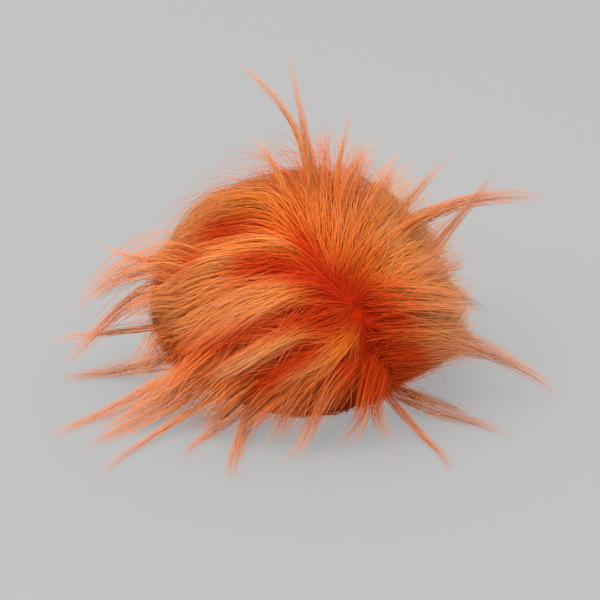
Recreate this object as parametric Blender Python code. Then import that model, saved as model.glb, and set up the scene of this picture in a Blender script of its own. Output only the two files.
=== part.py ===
"""Long-pile fur pom pom, lying on its flat spot.

One solid: the dense, slightly lumpy fur ball, and its combed-out locks. Each lock is a
three-sided, tapered strip that leaves the ball at a low angle and is free from its root on.
The pile parts along a short line on the upper front and falls away from it to every side.
It stands up behind the parting, drapes down the flanks and spreads over the ground.

Lengths are in millimetres and turned to metres where the mesh is made.
X runs to the right, Y to the back, Z up; the origin is the middle of the flat spot.
"""
import math
import random

import bmesh
import bpy
from mathutils import Euler, Vector
from mathutils.bvhtree import BVHTree

MM = 0.001
NODE = "fur_pompom"
SEED = 23
UP = Vector((0.0, 0.0, 1.0))
FRONT = Vector((0.0, -1.0, 0.0))

# Dense ball under the locks
BALL_HALF_WIDTH = 54.0
BALL_HALF_DEPTH = 51.0
BALL_RISE = 46.0          # from its widest level to the top
BALL_DROP = 40.5          # from its widest level down, cut short by the flat spot
WIDEST_LEVEL = 38.0
BALL_FACETS = 3           # subdivisions of the icosphere that it starts from
LUMP_DEPTH = 0.018        # of the radius
BASE_Z = 0.0

# Parting on the upper front, from which the pile falls to every side
PARTING_START = Vector((4.0, -33.0, 80.0))
PARTING_END = Vector((31.0, -44.0, 42.0))
TUFT_CENTRE = Vector((12.0, -2.0, 84.0))
TUFT_REACH = 38.0

# Locks of the pile
PILE_LOCKS = 205
PILE_PLACES = 1500        # places tried for them
LOWEST_ROOT = -0.45       # height of a root on the unit ball, -1 is its lowest point
ROOT_DEPTH = 3.5
ROOT_RISE = 1.2           # air under a lock just past its root
STEP = 10.4               # length of one segment
SEGMENTS = 3
LOCK_WIDTH = 7.6
RIDGE = 0.26              # height of a lock's ridge over its width
FULLEST = 0.4             # share of its length at which a lock is widest
ROOT_TAPER = 0.75
TIP_TAPER = 0.07
LOCK_GAP = 0.3            # air kept between two locks
LAY_ANGLE = math.radians(14)
LOWEST_PILE = 4.0         # level at which its lowest locks lie on the skirt
TUFT_ANGLE = math.radians(46)
WEIGHT_OF_PILE = 1.1      # how far gravity turns the pile down, against how it is combed
FALL_DISTANCE = 90.0      # distance from the parting over which that takes hold
FLARE = 0.25              # how far the pile spreads outward on top
TRIES = 8                 # until a lock lies free, each time a little steeper and shorter
STEEPER = 0.15
SHORTER = 0.06

# Locks that start on the parting line, to one side and the other in turn
PARTING_LOCKS = 10
PARTING_LAY = math.radians(17)
PARTING_HALF_WIDTH = 1.5

# Short locks round the foot of the ball, which come down to the ground and lie on it
SKIRT_LOCKS = 30
SKIRT_LEVEL = 8.0         # height of their roots
SKIRT_REACH = 13.0        # from the ball's wall to the tips
SKIRT_WIDTH = 4.6
SKIRT_ARCH = 1.5          # height half way along

# Long locks and wisps: where each leaves the ball (angle round it from +X, level),
# the point half way along, the tip, and the greatest width
LONG_LOCKS = (
    ("top left wisp", 110, 81, (-9, 9, 122), (-34, 14, 138), 3.6),
    ("top upright wisp", 70, 81, (0, 14, 112), (-7, 22, 136), 3.0),
    ("upper right long", 10, 72, (52, 8, 93), (66, 14, 100), 3.2),
    ("right long", -12, 68, (62, -4, 82), (97, 2, 79), 3.6),
    ("right thick", -18, 58, (62, -12, 79), (74, -10, 101), 4.2),
    ("right short", -14, 48, (60, -13, 60), (65, -14, 72), 4.0),
    ("right level", -8, 38, (63, -8, 41), (74, -10, 38), 4.4),
    ("right low sweep", -14, 24, (79, -10, 12), (109, -26, -3), 5.4),
    ("front right floor", -45, 12, (57, -36, 1), (82, -49, -2), 4.6),
    ("front right second", -31, 10, (58, -26, 1), (72, -36, -2), 3.4),
    ("front right wisp", -56, 11, (42, -58, 1), (58, -84, -2), 2.4),
    ("left upper sweep", 186, 52, (-78, -2, 47), (-95, 0, 27), 5.0),
    ("left flyaway", 171, 46, (-74, 8, 51), (-92, 12, 53), 2.4),
    ("left long", 183, 34, (-80, 0, 28), (-106, -2, -2), 4.8),
    ("left level", 173, 26, (-80, 6, 22), (-113, 4, 16), 3.8),
    ("left floor wisp", 166, 12, (-74, 11, 1), (-102, 4, -2), 3.0),
    ("lower left rear", 195, 14, (-76, -24, 3), (-105, -54, -3), 4.8),
    ("lower left thick", 208, 15, (-66, -34, 4), (-90, -57, -3), 5.6),
    ("lower left pale", 221, 14, (-54, -48, 4), (-78, -79, -3), 5.4),
    ("front left floor", 236, 13, (-36, -53, 2), (-49, -67, -2), 4.4),
    ("front floor", 249, 13, (-24, -58, 2), (-30, -81, -3), 5.0),
    ("front wisp", 267, 12, (-3, -51, 1), (-4, -61, -2), 4.0),
    ("front short", 280, 12, (9, -50, 1), (8, -57, -1), 3.8),
    ("front right short", 295, 12, (21, -47, 1), (22, -54, -1), 3.6),
    ("rear left floor", 138, 13, (-50, 46, 2), (-62, 68, -2), 4.6),
    ("rear floor", 100, 13, (-12, 62, 2), (-8, 84, -2), 4.8),
    ("rear right floor", 50, 13, (44, 52, 2), (56, 70, -2), 4.6),
    ("rear right side", 27, 30, (64, 34, 24), (82, 42, 6), 4.6),
    ("rear flank", 77, 46, (16, 66, 46), (18, 80, 30), 4.6),
    ("rear left side", 146, 40, (-60, 42, 38), (-74, 52, 22), 4.6),
)
LONG_SEGMENTS = 6
LONG_TIP_TAPER = 0.12
STANDING_TIP = 60.0       # a wisp whose tip is higher faces the front, the others face up

# Colour and finish of the fur
FUR_COLOUR = (0.87, 0.33, 0.11, 1.0)
FUR_ROUGHNESS = 0.75


def smooth_step(value):
    """Return a soft ramp from 0 to 1."""
    value = max(0.0, min(1.0, value))
    return value * value * (3.0 - 2.0 * value)


def across(vector, normal):
    """Return the unit direction of a vector laid flat on a surface."""
    flat = vector - normal * vector.dot(normal)
    return flat.normalized()


def ball_point(way):
    """Return the point of the ball that lies in a direction from its centre."""
    rise = BALL_RISE if way.z > 0.0 else BALL_DROP
    lumps = math.sin(4.1 * way.x + 2.0 * way.y + 0.6) * math.sin(3.3 * way.z - 2.4 * way.y + 1.0)
    size = 1.0 + LUMP_DEPTH * lumps
    return Vector((BALL_HALF_WIDTH * way.x * size,
                   BALL_HALF_DEPTH * way.y * size,
                   WIDEST_LEVEL + rise * way.z * size))


def ball_way(point):
    """Return the direction of a point from the ball's centre, and its distance in ball radii."""
    height = point.z - WIDEST_LEVEL
    rise = BALL_RISE if height > 0.0 else BALL_DROP
    way = Vector((point.x / BALL_HALF_WIDTH, point.y / BALL_HALF_DEPTH, height / rise))
    return way.normalized(), way.length


def ball_normal(point):
    """Return the outward direction of the ball's surface under a point."""
    way, _ = ball_way(point)
    rise = BALL_RISE if way.z > 0.0 else BALL_DROP
    return Vector((way.x / BALL_HALF_WIDTH, way.y / BALL_HALF_DEPTH, way.z / rise)).normalized()


def nearest_on_parting(point):
    """Return the point of the parting line that is nearest."""
    line = PARTING_END - PARTING_START
    share = (point - PARTING_START).dot(line) / line.length_squared
    return PARTING_START + line * max(0.0, min(1.0, share))


def tuft_share(point):
    """Return 1 in the middle of the standing tuft and 0 outside it."""
    return smooth_step(1.25 - (point - TUFT_CENTRE).length / TUFT_REACH)


def pile_flow(point, normal):
    """Return the direction in which the pile lies: off the parting, and down."""
    away = point - nearest_on_parting(point)
    fall = WEIGHT_OF_PILE * smooth_step(away.length / FALL_DISTANCE) * (1.0 - tuft_share(point))
    outward = Vector((point.x, point.y, 0.0)).normalized() * FLARE
    return across(away.normalized() + outward - UP * fall, normal)


def root_points(root, flow):
    """Return a lock's first two points: one in the ball, one just clear of it."""
    normal = ball_normal(root)
    return [root - normal * ROOT_DEPTH, root + normal * ROOT_RISE + flow * ROOT_DEPTH * 0.5]


def pile_path(root, turn, lay, step):
    """Trace a lock of the pile over the ball: its points, and the way it faces at each."""
    points = root_points(root, pile_flow(root, ball_normal(root)))
    point = points[-1].copy()
    climb = lay + TUFT_ANGLE * tuft_share(root)
    facings = []
    for _ in range(SEGMENTS):
        normal = ball_normal(point)
        flow = pile_flow(point, normal)
        heading = flow * math.cos(turn) + normal.cross(flow) * math.sin(turn)
        facings.append(normal * math.cos(climb) - heading * math.sin(climb))
        point = point + (heading * math.cos(climb) + normal * math.sin(climb)) * step
        point.z = max(point.z, LOWEST_PILE)
        points.append(point)
    return points, [facings[0], facings[0], *facings[1:], facings[-1]]


def bent_path(root, middle, tip, segments):
    """Return the points of one smooth bend from the ball to a tip, kept above the ground."""
    points = root_points(root, (middle - root).normalized())
    begin = points[-1]
    control = middle * 2.0 - (begin + tip) * 0.5
    for index in range(1, segments + 1):
        t = index / segments
        point = begin * (1.0 - t) ** 2 + control * (2.0 * t * (1.0 - t)) + tip * t ** 2
        point.z = max(point.z, BASE_Z)
        points.append(point)
    return points


def width_share(share, tip_taper):
    """Return a lock's width at a share of its length, against its greatest width."""
    if share < FULLEST:
        return ROOT_TAPER + (1.0 - ROOT_TAPER) * smooth_step(share / FULLEST)
    narrowing = smooth_step((share - FULLEST) / (1.0 - FULLEST))
    return tip_taper + (1.0 - tip_taper) * (1.0 - narrowing)


def spread_ways(count):
    """Return directions spread evenly over the ball above its lowest roots."""
    turn = math.pi * (3.0 - math.sqrt(5.0))
    ways = []
    for index in range(count):
        height = 1.0 - (1.0 - LOWEST_ROOT) * (index + 0.5) / count
        ring = math.sqrt(1.0 - height * height)
        ways.append(Vector((ring * math.cos(turn * index), ring * math.sin(turn * index), height)))
    return ways


def wall_point(angle, level):
    """Return the point of the ball's wall at an angle round it and a level."""
    rise = BALL_RISE if level > WIDEST_LEVEL else BALL_DROP
    height = (level - WIDEST_LEVEL) / rise
    ring = math.sqrt(1.0 - height * height)
    return ball_point(Vector((ring * math.cos(angle), ring * math.sin(angle), height)))


def lock_tangent(points, index):
    """Return the direction in which a lock runs at one of its points."""
    here = points[index]
    tangent = Vector()
    if index > 0:
        tangent += (here - points[index - 1]).normalized()
    if index < len(points) - 1:
        tangent += (points[index + 1] - here).normalized()
    return tangent.normalized()


class Coat:
    """The locks laid so far, each kept clear of all the others."""

    def __init__(self):
        self.locks = []
        self.skins = []

    def skin(self, points, facings, width, tip_taper):
        """Return a lock's faces, grown by half the gap, as a tree that finds what they cross."""
        corners = []
        faces = []
        for index, point in enumerate(points):
            tangent = lock_tangent(points, index)
            over = across(facings[index], tangent)
            beside = tangent.cross(over)
            here = width * width_share(index / (len(points) - 1), tip_taper)
            base = point - over * LOCK_GAP * 0.5
            corners.append(base - beside * (here * 0.5 + LOCK_GAP))
            corners.append(base + beside * (here * 0.5 + LOCK_GAP))
            corners.append(point + over * (RIDGE * here + LOCK_GAP))
        for first in range(0, len(corners) - 3, 3):
            for corner, following in ((0, 1), (1, 2), (2, 0)):
                faces.append((first + corner, first + following,
                              first + 3 + following, first + 3 + corner))
        return BVHTree.FromPolygons(corners, faces)

    def lay(self, points, facings, width, tip_taper=TIP_TAPER):
        """Keep a lock if it lies free, and tell whether it was kept."""
        skin = self.skin(points, facings, width, tip_taper)
        if any(skin.overlap(other) for other in self.skins):
            return False
        self.skins.append(skin)
        self.locks.append((points, facings, width, tip_taper))
        return True

    def lay_pile_lock(self, root, turn, lay, step, width):
        """Lay a lock of the pile, steeper and shorter at each try, until it lies free."""
        for attempt in range(TRIES):
            steeper = lay * (1.0 + STEEPER * attempt)
            shorter = step * (1.0 - SHORTER * attempt)
            path, facings = pile_path(root, turn, steeper, shorter)
            if self.lay(path, facings, width):
                return True
        return False


def lay_long_locks(coat):
    """Lay the long locks and wisps."""
    for _, angle, level, middle, tip, width in LONG_LOCKS:
        root = wall_point(math.radians(angle), level)
        path = bent_path(root, Vector(middle), Vector(tip), LONG_SEGMENTS)
        facing = FRONT if tip[2] > STANDING_TIP else UP
        coat.lay(path, [facing] * len(path), width, LONG_TIP_TAPER)


def lay_skirt(coat, chance):
    """Lay the short locks that come down round the foot of the ball."""
    for index in range(SKIRT_LOCKS):
        angle = math.tau * (index + chance.uniform(-0.2, 0.2)) / SKIRT_LOCKS
        root = wall_point(angle, SKIRT_LEVEL + chance.uniform(-2.0, 2.0))
        outward = Vector((root.x, root.y, 0.0)).normalized()
        outward.rotate(Euler((0.0, 0.0, chance.uniform(-0.4, 0.4))))
        outward *= SKIRT_REACH * chance.uniform(0.6, 1.1)
        foot = Vector((root.x, root.y, 0.0))
        middle = foot + outward * 0.5 + UP * SKIRT_ARCH
        path = bent_path(root, middle, foot + outward - UP, SEGMENTS)
        coat.lay(path, [UP] * len(path), SKIRT_WIDTH * chance.uniform(0.8, 1.1))


def lay_parting(coat, chance):
    """Lay the locks that start on the parting line."""
    for index in range(PARTING_LOCKS):
        along = (index + chance.uniform(0.2, 0.8)) / PARTING_LOCKS
        side = -1.0 if index % 2 else 1.0
        place = PARTING_START.lerp(PARTING_END, along)
        sideways = ball_normal(place).cross(PARTING_END - PARTING_START).normalized()
        root = ball_point(ball_way(place + sideways * side * PARTING_HALF_WIDTH)[0])
        width = LOCK_WIDTH * chance.uniform(0.8, 1.0)
        coat.lay_pile_lock(root, chance.uniform(-0.4, 0.4), PARTING_LAY, STEP, width)


def lay_pile(coat, chance):
    """Lay the pile over the ball, in turn where there is still room for a lock."""
    ways = spread_ways(PILE_PLACES)
    chance.shuffle(ways)
    laid = 0
    for way in ways:
        width = LOCK_WIDTH * chance.uniform(0.8, 1.1)
        step = STEP * chance.uniform(0.9, 1.1)
        turn = chance.uniform(-0.18, 0.18)
        laid += coat.lay_pile_lock(ball_point(way), turn, LAY_ANGLE, step, width)
        if laid == PILE_LOCKS:
            break


def facing_tilt(tangent, facing):
    """Return the roll that turns a curve's section from level to the way the lock faces."""
    upward = across(UP, tangent)
    sideways = tangent.cross(upward)
    return math.atan2(facing.dot(sideways), facing.dot(upward))


def add_lock(curve, points, facings, width, tip_taper):
    """Add one lock to the curve as a spline of straight segments."""
    spline = curve.splines.new("POLY")
    spline.points.add(len(points) - 1)
    for index, point in enumerate(points):
        spot = spline.points[index]
        spot.co = (*(point * MM), 1.0)
        spot.radius = width * width_share(index / (len(points) - 1), tip_taper)
        spot.tilt = facing_tilt(lock_tangent(points, index), facings[index])


def make_section(guides):
    """Return the three-sided section that every lock is swept from, one millimetre wide."""
    curve = bpy.data.curves.new("lock_section", "CURVE")
    curve.dimensions = "2D"
    spline = curve.splines.new("POLY")
    corners = ((-0.5, 0.0), (0.5, 0.0), (0.0, RIDGE))
    spline.points.add(len(corners) - 1)
    for spot, (x, y) in zip(spline.points, corners):
        spot.co = (x * MM, y * MM, 0.0, 1.0)
    spline.use_cyclic_u = True
    section = bpy.data.objects.new("lock_section", curve)
    guides.objects.link(section)
    section.hide_render = True
    section.display_type = "WIRE"
    return section


def make_locks(guides, section):
    """Make all the locks as one curve object and return it as a mesh object."""
    curve = bpy.data.curves.new("locks", "CURVE")
    curve.dimensions = "3D"
    curve.twist_mode = "Z_UP"
    curve.bevel_mode = "OBJECT"
    curve.bevel_object = section
    curve.use_fill_caps = True
    coat = Coat()
    chance = random.Random(SEED)
    lay_long_locks(coat)
    lay_skirt(coat, chance)
    lay_parting(coat, chance)
    lay_pile(coat, chance)
    for lock in coat.locks:
        add_lock(curve, *lock)

    sweep = bpy.data.objects.new("locks", curve)
    guides.objects.link(sweep)
    bpy.context.view_layer.update()
    evaluated = sweep.evaluated_get(bpy.context.evaluated_depsgraph_get())
    mesh = bpy.data.meshes.new_from_object(evaluated)
    shaped = bmesh.new()
    shaped.from_mesh(mesh)
    bmesh.ops.remove_doubles(shaped, verts=shaped.verts, dist=0.000001)
    bmesh.ops.recalc_face_normals(shaped, faces=shaped.faces)
    shaped.to_mesh(mesh)
    shaped.free()
    locks = bpy.data.objects.new("lock_mesh", mesh)
    locks.matrix_world = sweep.matrix_world
    guides.objects.link(locks)
    bpy.data.objects.remove(sweep)
    locks.hide_render = True
    locks.display_type = "WIRE"
    return locks


def make_ball(parts):
    """Make the dense ball with its flat spot."""
    mesh = bpy.data.meshes.new(NODE)
    shaped = bmesh.new()
    bmesh.ops.create_icosphere(shaped, subdivisions=BALL_FACETS, radius=1.0)
    for vert in shaped.verts:
        vert.co = ball_point(vert.co.normalized()) * MM
    everything = shaped.verts[:] + shaped.edges[:] + shaped.faces[:]
    cut = bmesh.ops.bisect_plane(shaped, geom=everything, plane_co=(0.0, 0.0, BASE_Z),
                                 plane_no=(0.0, 0.0, 1.0), clear_inner=True)
    rim = [piece for piece in cut["geom_cut"] if isinstance(piece, bmesh.types.BMEdge)]
    bmesh.ops.contextual_create(shaped, geom=rim)
    bmesh.ops.recalc_face_normals(shaped, faces=shaped.faces)
    shaped.to_mesh(mesh)
    shaped.free()
    ball = bpy.data.objects.new(NODE, mesh)
    parts.objects.link(ball)
    return ball


def make_fur_material():
    """Return the soft orange finish."""
    material = bpy.data.materials.new("fur")
    material.use_nodes = True
    shader = material.node_tree.nodes["Principled BSDF"]
    shader.inputs["Base Color"].default_value = FUR_COLOUR
    shader.inputs["Roughness"].default_value = FUR_ROUGHNESS
    shader.inputs["Metallic"].default_value = 0.0
    return material


def main():
    """Build the pom pom."""
    for leftover in list(bpy.data.objects):
        bpy.data.objects.remove(leftover)
    parts = bpy.data.collections.new("pom_pom")
    guides = bpy.data.collections.new("guides")
    bpy.context.scene.collection.children.link(parts)
    bpy.context.scene.collection.children.link(guides)
    ball = make_ball(parts)
    ball.data.materials.append(make_fur_material())
    locks = make_locks(guides, make_section(guides))
    union = ball.modifiers.new("locks", "BOOLEAN")
    union.operation = "UNION"
    union.object = locks
    union.solver = "EXACT"


main()
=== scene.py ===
"""The looks of a long-pile fur pom pom that lies on its flat spot.

Every hair is a thin, tapered, three-sided mesh that grows out of a dense ball. The pile parts
along a short line on the upper front and falls away from it to every side. Its hairs gather
into tufts and locks, heap up along ridges and sink into the hollows between them. Long locks,
wisps and single hairs leave it, and some come down on the floor. A felted undercoat closes the
ball below them.

Lengths are in millimetres, turned to metres where a mesh is made. A range is where a thing sets
in and where it is full. A tone is 0 for the deep colours and 1 for the pale ones; besides each
hair's own colour it carries painted light on ridges and painted shade in hollows, at the parting
and low down.
X runs to the right, Y to the back, Z up; the origin is the middle of the flat spot.
"""

import math

import bmesh
import bpy
import numpy as np
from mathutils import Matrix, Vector
from mathutils.kdtree import KDTree


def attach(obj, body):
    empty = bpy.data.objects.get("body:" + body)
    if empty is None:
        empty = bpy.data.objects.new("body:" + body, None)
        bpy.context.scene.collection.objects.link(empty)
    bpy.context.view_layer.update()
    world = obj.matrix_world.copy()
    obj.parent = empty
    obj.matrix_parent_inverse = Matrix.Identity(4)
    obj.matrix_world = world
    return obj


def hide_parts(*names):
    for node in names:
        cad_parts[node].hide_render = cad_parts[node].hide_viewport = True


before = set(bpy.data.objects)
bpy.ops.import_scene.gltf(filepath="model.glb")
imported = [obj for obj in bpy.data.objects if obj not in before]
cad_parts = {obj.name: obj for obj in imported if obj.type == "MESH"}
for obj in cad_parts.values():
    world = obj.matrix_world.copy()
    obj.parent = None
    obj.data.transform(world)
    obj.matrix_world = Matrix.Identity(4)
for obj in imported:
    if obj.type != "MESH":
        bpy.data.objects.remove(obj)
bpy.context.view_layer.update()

MM = 0.001
NODE = "fur_pompom"
BODY = "root"
SEED = 7
UP = np.array((0.0, 0.0, 1.0))
LEVEL = np.array((1.0, 1.0, 0.0))  # takes the height out of a vector
GOLDEN_ANGLE = math.pi * (3.0 - math.sqrt(5.0))

# Dense ball under the locks, as in the CAD
BALL_HALF_WIDTH = 54.0
BALL_HALF_DEPTH = 51.0
BALL_RISE = 46.0  # above its widest level
BALL_DROP = 40.5  # below it
WIDEST_LEVEL = 38.0
LUMP_DEPTH = 0.018  # of the radius
LUMP_WAVES = (  # two that cross: their numbers along X, Y and Z, and their phases
    (4.1, 2.0, 0.0, 0.6),
    (0.0, -2.4, 3.3, 1.0),
)
ROOT_SCALE = 0.95  # of the ball, where the roots are
UNDERCOAT_SCALE = 0.96
UNDERCOAT_FINENESS = 5  # subdivisions of its icosphere

# The upper right of the ball lies in, so that the pile is loose and thin there
FLAT_DEPTH = 0.20  # of the radius
FLAT_RIGHT = 0.95  # how far to the right this side faces
FLAT_UP = 0.3  # and how far up
FLAT_FROM = 0.5  # where it sets in that way on the unit ball
FLAT_OVER = 0.45  # how much farther it is full

# The parting
PARTING_START = np.array((12.0, -42.0, 66.0))
PARTING_END = np.array((28.0, -46.0, 38.0))
PARTING_RAGGED = 4.0  # how far the line strays
PARTING_WAVE = 34.0  # length of its bends
PARTING_PHASES = (0.4, 1.9, 3.1)
PARTING_REACH = 13.0  # over which its hold on the pile fades
FREE_REACHES = 0.5  # within these, hairs are hardly gathered
STRAYLESS_REACHES = 1.2  # within these, there are no strays
SHADED_REACHES = 0.5  # within these, the pile is painted deep in colour, as painted shade in the parting's hollow
LONG_SHADED_REACHES = 1.0  # within these, the long locks are

# Places unlike the rest, each with its reach: the tuft that stands up at the crown, and the sides
TUFT = ((17.0, -1.0, 84.0), 34.0)
RIGHT = ((52.0, -14.0, 52.0), 38.0)
LEFT = ((-56.0, -10.0, 40.0), 36.0)
FULL_REACHES = 0.25  # within these, the pile is wholly so

# How the pile lies
WEIGHT_OF_PILE = 0.8  # how far it turns down, against how it is combed
FALL_DISTANCE = 100.0  # from the parting, over which that sets in
FLARE = 0.25  # how far the pile spreads outward on top
COMB_REACH = 15.0  # of each combed place below
UNCOMBED = 0.12  # weight of the pile's own fall against the comb
SWIRL = 0.15  # how far it turns to and fro, in radians
SWIRL_WAVE = 60.0
SWIRL_PHASE = 0.8

# Combed places, and the way in which the pile lies there
COMBED = (
    ("crown", (-2, -12, 87), (-0.08, 0.99, 0.14)),
    ("crown right", (13, -22, 83), (0.05, 0.94, 0.33)),
    ("upper right", (23, -30, 75), (0.40, 0.80, 0.45)),
    ("shoulder", (34, -14, 76), (0.45, 0.85, 0.15)),
    ("right upper", (40, -24, 67), (0.75, 0.60, 0.10)),
    ("right", (36, -34, 62), (0.90, 0.40, -0.10)),
    ("right middle", (47, -28, 53), (0.80, 0.50, -0.25)),
    ("right lower", (34, -44, 44), (0.92, 0.30, -0.12)),
    ("right flank", (48, -31, 35), (0.88, 0.40, -0.15)),
    ("below parting right", (29, -47, 29), (0.60, 0.25, -0.75)),
    ("right foot", (38, -42, 33), (0.85, 0.45, -0.05)),
    ("below parting", (22, -49, 28), (-0.06, 0.36, -0.93)),
    ("front", (14, -53, 45), (-0.88, -0.25, -0.41)),
    ("front middle", (1, -55, 39), (-0.86, -0.10, -0.50)),
    ("front low", (8, -51, 23), (-0.70, 0.00, -0.70)),
    ("middle", (-13, -52, 49), (-0.86, 0.10, -0.50)),
    ("left middle", (-32, -44, 49), (-0.80, 0.05, -0.60)),
    ("left", (-47, -31, 45), (-0.72, 0.15, -0.68)),
    ("lower left", (-31, -43, 24), (-0.78, -0.05, -0.60)),
    ("lit", (-21, -44, 62), (-0.88, 0.10, -0.47)),
    ("left upper", (-40, -32, 59), (-0.69, 0.32, -0.65)),
    ("sheet", (-16, -32, 76), (-0.96, 0.21, -0.19)),
    ("sheet left", (-32, -29, 70), (-0.84, 0.25, -0.49)),
    ("sheet edge", (-45, -25, 60), (-0.68, 0.30, -0.66)),
    ("upper left", (-25, -14, 81), (-0.95, 0.18, -0.26)),
    ("upper left edge", (-40, -13, 72), (-0.85, 0.10, -0.52)),
    ("left shoulder", (-51, -8, 61), (-0.68, 0.15, -0.72)),
    ("top left", (-20, 2, 85), (-0.85, 0.45, -0.20)),
    ("back left top", (-35, 10, 77), (-0.85, 0.20, -0.48)),
    ("whorl", (-6, -41, 71), (-0.97, -0.07, -0.24)),
    ("mid", (2, -49, 60), (-0.95, -0.15, -0.27)),
    ("parting left", (14, -50, 55), (-0.90, -0.32, -0.29)),
    ("above parting", (14, -38, 72), (0.10, 0.77, 0.63)),
    ("parting right", (25, -40, 65), (0.79, 0.60, 0.12)),
)
COMB_PLACES = np.array([place for _, place, _ in COMBED], float)
COMB_WAYS = np.array([way for _, _, way in COMBED])

# Ridges, along which the pile heaps up and is painted paler, as painted light
RIDGES = (
    ("main", ((-5, -31, 77), (-17, -30, 75), (-31, -28, 69), (-47, -21, 57), (-58, -12, 42))),
    ("upper", ((-13, -8, 84), (-36, 5, 74), (-51, 3, 64), (-59, -4, 57))),
    ("second", ((9, -40, 68), (-1, -43, 66), (-15, -46, 58), (-31, -43, 46), (-45, -31, 33))),
    ("third", ((-5, -51, 52), (-27, -46, 35), (-43, -32, 17))),
    ("fourth", ((23, -46, 51), (12, -51, 44), (-7, -52, 35), (-22, -41, 17))),
    ("fifth", ((7, -53, 37), (-12, -47, 21), (-19, -38, 10))),
    ("front", ((17, -50, 36), (6, -49, 23))),
    ("right", ((18, -43, 61), (25, -39, 63), (36, -32, 61), (48, -21, 53))),
    ("right low", ((28, -44, 49), (39, -38, 43), (54, -15, 29))),
)

# Hollows, where it is pressed down and painted deeper in colour, as painted shade
HOLLOWS = (
    ("under main", ((2, -42, 67), (-6, -38, 71), (-16, -34, 72), (-25, -33, 69))),
    ("under second", ((6, -49, 55), (-7, -49, 56), (-22, -47, 50), (-34, -42, 41),
                      (-44, -31, 29))),
    ("under third", ((1, -52, 46), (-10, -52, 38), (-19, -48, 29), (-31, -32, 13))),
    ("under fourth", ((15, -51, 35), (4, -52, 29), (-6, -48, 20))),
    ("parting", ((24, -41, 60), (25, -44, 54), (26, -46, 43), (28, -46, 35))),
    ("upper", ((-26, -16, 78), (-37, -13, 72))),
    ("left", ((-41, -21, 64), (-51, -12, 55), (-60, -11, 49))),
    ("whorl", ((-2, -30, 77), (0, -38, 71), (7, -41, 67), (16, -42, 64), (24, -42, 59))),
    ("right", ((27, -43, 55), (35, -39, 51), (43, -33, 44))),
    ("right foot", ((27, -46, 40), (36, -41, 37))),
)
RUN_STEP = 2.0  # between the points of a ridge or hollow
RUN_DEEP = 14.0  # how far above or below it still acts
RIDGE_DRAW = 8.0  # how far off a ridge still draws hairs to itself
RIDGE_PULL = 0.5  # share of the way that it draws them
RIDGE_LIFT = 2.4  # how high it heaps them
RIDGE_PAINTED_LIGHT = 0.42  # how much paler they are painted on it, as painted light
HOLLOW_DRAW = 6.0  # how far off a hollow still acts
HOLLOW_PUSH = 0.1  # share of the way that it parts its hairs
HOLLOW_DROP = 1.2  # how low it presses them
HOLLOW_PAINTED_SHADE = 1.00  # how much deeper in colour they are painted in it, as painted shade

# How deep the pile may lie, and what is left of that low down and at the right
COAT_DEPTH = 9.0
LOW_SHARE = 0.35
LOW_RANGE = (10.0, 50.0)  # levels
RIGHT_SHARE = 0.5
RIGHT_RANGE = (5.0, 45.0)  # to the right of the middle
LEFT_MORE = 4.0  # how much deeper it lies at the left
LEFT_RANGE = (20.0, 55.0)  # to the left of the middle
ROOM_LEAST = 0.3  # share of that depth which every hair has
ROOM_SPREAD = 0.22  # how much more the higher ones have
ROOM_STEEPER = 12.0  # and the strays, for each radian that they climb more
PRESS = 0.5  # share of what is higher that goes at each step

# How straight the pile runs on where the ball turns away, 1 is not bent at all
LEFT_STIFF = 0.86
LEFT_STIFF_RANGE = (24.0, 50.0)
RIGHT_STIFF = 0.97
RIGHT_STIFF_RANGE = (15.0, 37.0)
STIFF_VARY = (0.9, 1.0)  # share of that which a hair has

# Pile
PILE_HAIRS = 29000
PILE_PIECES = 5  # meshes that it is shared out to
CROWD = 6000  # of these hairs that are rooted near the parting
CROWD_REACH = 10.0
CROWD_RANGE = (-0.2, 1.2)  # along the parting
LOCKS = 260  # guides of the first kind
TUFTS = 1400  # guides of the second kind, which the locks gather
LOWEST_ROOT = -0.82  # on the unit ball
STEPS = 20  # of a hair as it is grown
WAVES = (0.6, 1.4)  # along a hair, as it wavers
PILE_RINGS = 6  # of a hair as it is meshed, tip included

# Its lengths
PILE_LENGTH = 68.0
TUFT_LENGTH = 49.0  # where it stands up at the crown
RIGHT_LENGTH = 37.0
LEFT_LENGTH = 60.0
LENGTH_VARY = (-0.28, 0.1)  # share by which a hair is longer
RIGHT_VARY = 1.2  # how much more that is at the right
PARTING_SHORTER = 0.4  # how much shorter it is at the parting

# The angles at which its hairs leave the ball, and what they gain in places
CLIMB = math.radians(9)
LOW_CLIMB = 0.4  # share of it that is left low down
LOW_CLIMB_RANGE = (8.0, 44.0)
PARTING_CLIMB = math.radians(10)
TUFT_CLIMB = math.radians(26)
SLEEK_FRONT = -38.0  # along Y, from here forward none of the tuft stands up
RIGHT_CLIMB = math.radians(34)
LEFT_CLIMB = math.radians(5)
SETTLE = 0.75  # share of the angle that is lost by the tip
HANG = 0.8  # how far the pile follows the ball below its widest level

# How far locks, tufts and hairs turn off the pile's lie, in radians, and by what share their
# angles vary
LOCK_ASTRAY = (0.15, 0.9)
TUFT_ASTRAY = (0.1, 0.6)
HAIR_ASTRAY = (0.1, 0.7)
PARTING_TURN = 1.0  # how much more they turn at the parting

# How far each is gathered to the next, as a share of the way, and from where along it
TUFT_TO_LOCK = 0.6
TUFT_BEGIN = 0.1
HAIR_TO_LOCK = 0.4
HAIR_TO_TUFT = 0.2  # at most
HAIR_BEGIN = 0.05
TUFT_LOOSER = 0.5  # how much less the hairs of the tuft at the crown are
PARTING_FREE = 0.9  # share of it that they lose at the parting
PILE_WAVER = 0.35  # how far they bend to and fro

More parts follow.
